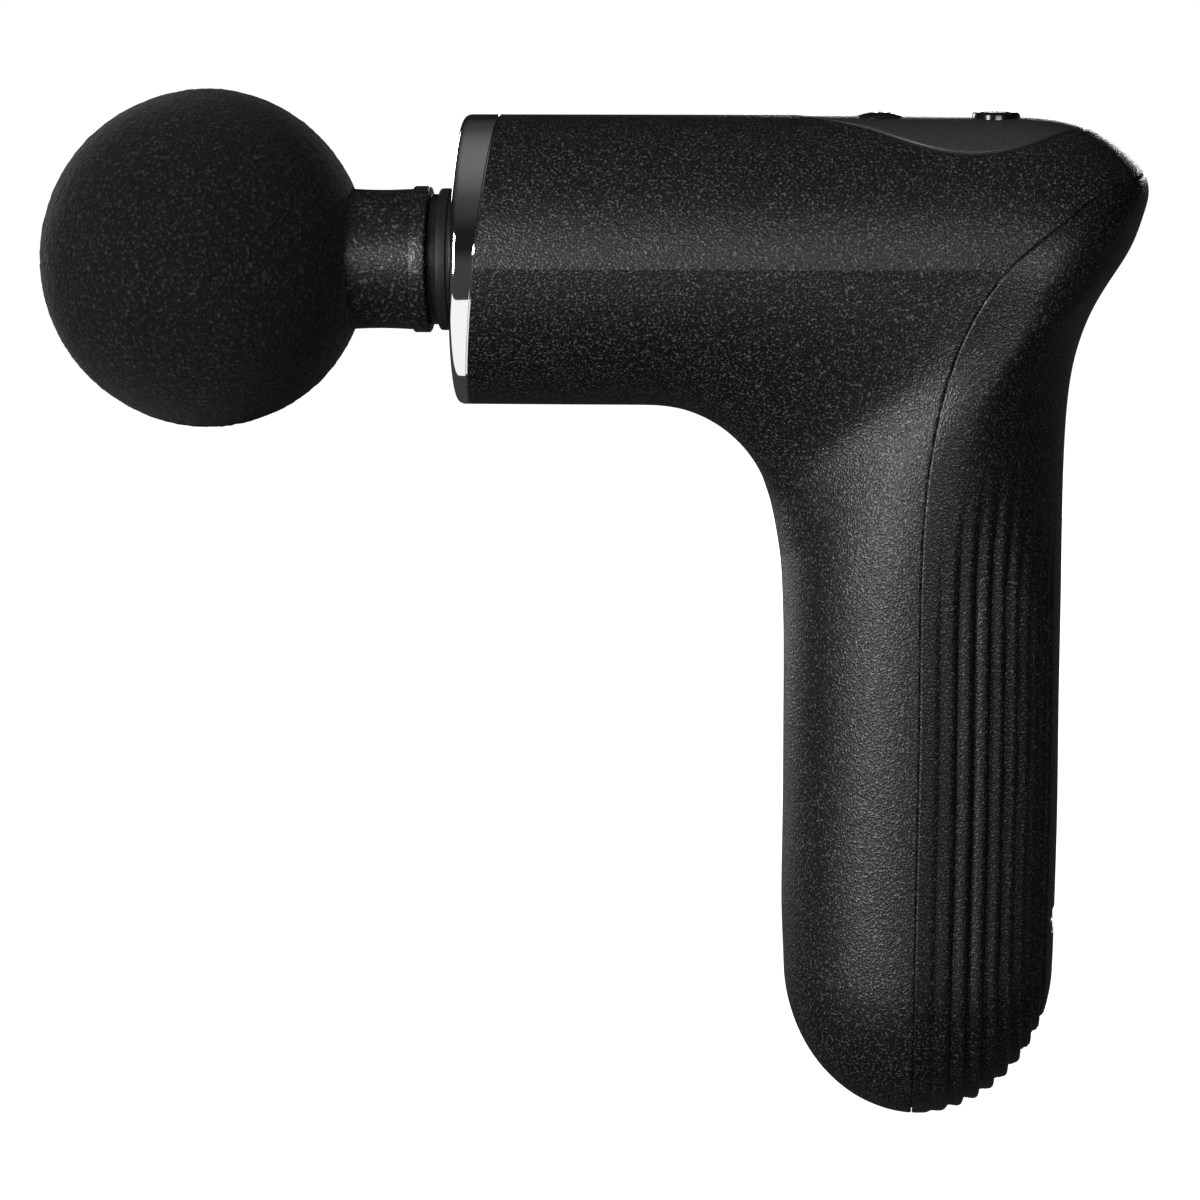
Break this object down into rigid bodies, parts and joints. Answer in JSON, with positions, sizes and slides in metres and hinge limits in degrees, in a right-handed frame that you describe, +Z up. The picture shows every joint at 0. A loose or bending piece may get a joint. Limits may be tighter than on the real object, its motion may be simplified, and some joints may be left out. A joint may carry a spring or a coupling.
{
  "type": "massage gun",
  "caption": "Small L-shaped massage gun: foam ball head on a reciprocating piston, round barrel, ribbed pistol grip and push buttons on top.",
  "frame": {"origin": "centre of the piston's socket mouth on the stroke axis, at rest", "axes": "+X runs back along the stroke axis from the head to the barrel, +Z points up out of the control panel, and the handle hangs down along -Z"},
  "size_m": [0.1624, 0.0498, 0.1517],
  "materials": {
    "shell_black": "matte",
    "shell_satin": "satin",
    "panel_black": "satin",
    "chrome_trim": "polished",
    "black_plastic": "matte",
    "black_rubber": "matte",
    "bush_plastic": "satin",
    "foam_black": "matte",
    "head_plastic": "satin",
    "piston_black": "satin",
    "cast_aluminium": "satin",
    "steel": "satin",
    "copper": "satin",
    "button_gloss": "gloss",
    "mark_white": "satin",
    "switch_plastic": "matte",
    "circuit_board": "satin",
    "cell_wrap": "satin",
    "nickel": "satin",
    "wire_sleeve": "satin"
  },
  "bodies": {
    "casing": {"front_shell": "shell_black", "rear_shell": "shell_satin", "control_panel": "panel_black", "nose_ring": "chrome_trim", "nose_plate": "black_plastic", "dust_seal": "black_rubber", "seal_retainer": "black_plastic", "guide_bush": "bush_plastic", "drive_frame": "cast_aluminium", "nose_screws": "steel", "frame_screws": "steel", "motor_base": "cast_aluminium", "motor_bearings": "steel", "motor_screws": "steel", "stator_core": "steel", "stator_windings": "copper", "front_switch": "switch_plastic", "rear_switch": "switch_plastic", "panel_board": "circuit_board", "panel_screws": "steel", "battery_cell_1": "cell_wrap", "battery_cell_2": "cell_wrap", "battery_cell_3": "cell_wrap", "battery_cell_4": "cell_wrap", "battery_tray": "black_plastic", "battery_strips": "nickel", "battery_pad": "black_rubber", "main_board": "circuit_board", "board_parts": "switch_plastic", "charge_port": "steel", "port_tongue": "black_plastic", "port_board": "circuit_board", "motor_leads": "wire_sleeve", "battery_leads": "wire_sleeve", "panel_lead": "wire_sleeve"},
    "crank": {"rotor_bell": "steel", "rotor_magnets": "steel", "motor_shaft": "steel", "crank_disc": "steel", "grub_screw": "steel", "crank_pin": "steel", "pin_clip": "steel"},
    "roller": {"crank_roller": "steel"},
    "piston": {"piston_tube": "piston_black", "drive_yoke": "cast_aluminium", "yoke_pin": "steel"},
    "massage_head": {"foam_ball": "foam_black", "head_core": "head_plastic", "plug_rings": "black_rubber"},
    "front_key": {"front_button": "button_gloss", "front_button_marks": "mark_white"},
    "rear_key": {"rear_button": "button_gloss", "rear_button_marks": "mark_white"}
  },
  "joints": [
    {"name": "crank_turn", "type": "hinge", "parent": "casing", "child": "crank", "pos_m": [0.072, 0, 0], "axis": [0, 0, 1], "range_deg": [0, 180]},
    {"name": "piston_stroke", "type": "slide", "parent": "casing", "child": "piston", "axis": [-1, 0, 0], "range_m": [0, 0.007]},
    {"name": "roller_spin", "type": "hinge", "parent": "crank", "child": "roller", "pos_m": [0.0755, 0, 0], "axis": [0, 0, 1], "continuous": true},
    {"name": "head_pull", "type": "slide", "parent": "piston", "child": "massage_head", "axis": [-1, 0, 0], "range_m": [0, 0.02]},
    {"name": "front_press", "type": "slide", "parent": "casing", "child": "front_key", "axis": [0, 0, -1], "range_m": [0, 0.0005], "stiffness_N_per_m": 2000},
    {"name": "rear_press", "type": "slide", "parent": "casing", "child": "rear_key", "axis": [0, 0, -1], "range_m": [0, 0.0005], "stiffness_N_per_m": 2000}
  ],
  "couplings": [
    {"joint": "crank_turn", "follows": "piston_stroke", "rad_per_m": 448.79}
  ]
}
